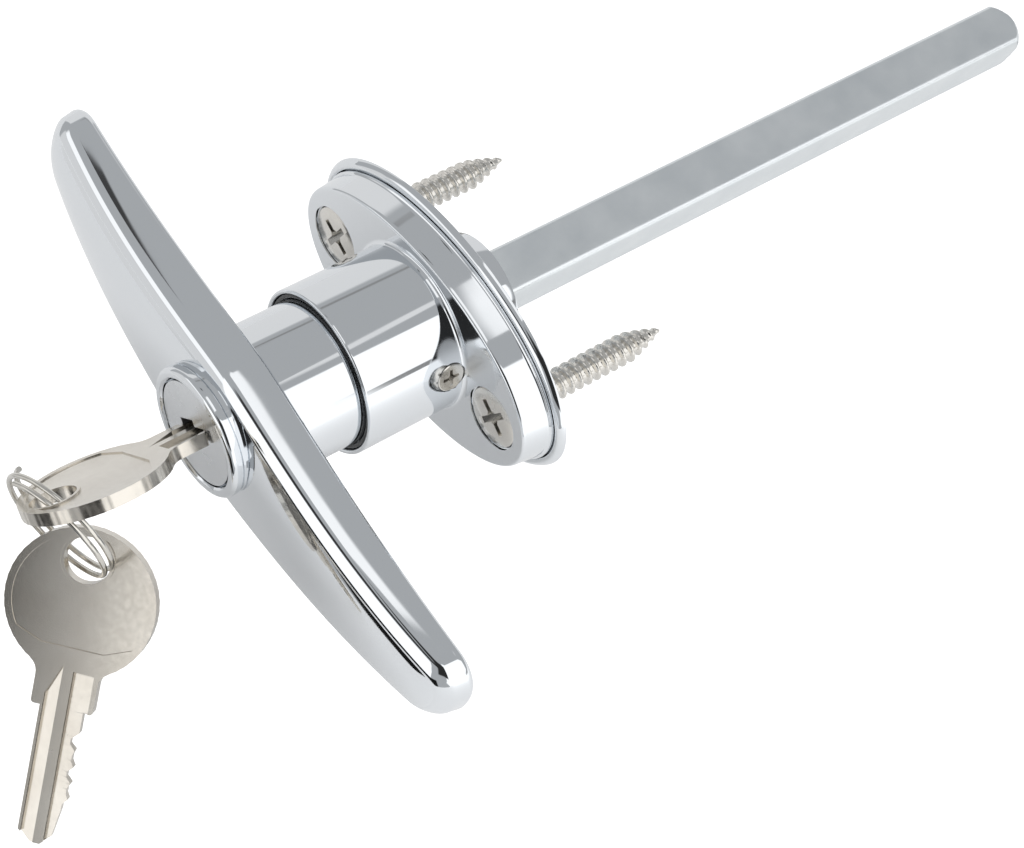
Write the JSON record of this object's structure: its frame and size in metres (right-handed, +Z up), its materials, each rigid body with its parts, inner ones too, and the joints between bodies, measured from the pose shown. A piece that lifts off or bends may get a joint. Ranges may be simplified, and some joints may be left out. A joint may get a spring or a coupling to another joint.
{
  "type": "garage door t-handle lock",
  "caption": "Garage door T-handle lock: a keyed chrome handle turns a square drive shaft through an oval flange, with screws and keys on a split ring.",
  "frame": {"origin": "centre of the flange's back face, on the spindle axis", "axes": "+Y along the drive shaft into the door, X along the flange's long axis and the line of the mounting screws, +Z up"},
  "size_m": [0.1054, 0.2056, 0.0655],
  "materials": {
    "chrome": "bright chrome plate on a zinc casting",
    "plug_satin_chrome": "satin chrome plate",
    "black_rubber": "matt black rubber",
    "zinc_plated_steel": "drawn and zinc plated",
    "steel": "plain spring steel",
    "brass": "stamped brass",
    "nickel_plated_brass": "satin nickel plate",
    "nickel_plated_steel": "bright nickel plate",
    "screw_nickel": "nickel plated"
  },
  "bodies": {
    "housing": {"housing": "chrome", "stem_seal": "black_rubber", "retaining_screw": "screw_nickel", "mounting_screw_left": "screw_nickel", "mounting_screw_right": "screw_nickel"},
    "handle": {"t_handle": "chrome", "drive_shaft": "zinc_plated_steel", "cross_pin": "steel", "plug_pin": "steel"},
    "bolt": {"lock_bolt": "brass"},
    "plug": {"lock_plug": "plug_satin_chrome", "wafer_1": "brass", "wafer_2": "brass", "wafer_3": "brass", "wafer_4": "brass", "wafer_5": "brass", "wafer_spring_1": "steel", "wafer_spring_2": "steel", "wafer_spring_3": "steel", "wafer_spring_4": "steel", "wafer_spring_5": "steel"},
    "key": {"key": "nickel_plated_brass"},
    "ring": {"split_ring": "nickel_plated_steel"},
    "spare_key": {"spare_key": "nickel_plated_brass"}
  },
  "joints": [
    {"name": "handle_turn", "type": "hinge", "parent": "housing", "child": "handle", "pos_m": [0, 0, 0], "axis": [0, 1, 0], "range_deg": [-10.5, 79.5]},
    {"name": "plug_turn", "type": "hinge", "parent": "handle", "child": "plug", "pos_m": [0, 0, 0], "axis": [0, 1, 0], "range_deg": [-45, 45]},
    {"name": "bolt_slide", "type": "slide", "parent": "handle", "child": "bolt", "axis": [-0.1822, 0, -0.9833], "range_m": [-0.0013, 0.0013]},
    {"name": "key_slide", "type": "slide", "parent": "plug", "child": "key", "axis": [0, -1, 0], "range_m": [0, 0.032]},
    {"name": "ring_swing", "type": "hinge", "parent": "key", "child": "ring", "pos_m": [0.00015, -0.0665, 0.00126], "axis": [-0.9567, -0.2691, 0.1112], "range_deg": [-20, 30]},
    {"name": "spare_key_swing", "type": "hinge", "parent": "ring", "child": "spare_key", "pos_m": [0.00281, -0.06245, -0.01594], "axis": [0.864, 0.1284, 0.4868], "range_deg": [-25, 34]}
  ],
  "couplings": [
    {"joint": "bolt_slide", "follows": "plug_turn", "m_per_rad": 0.0016206}
  ]
}
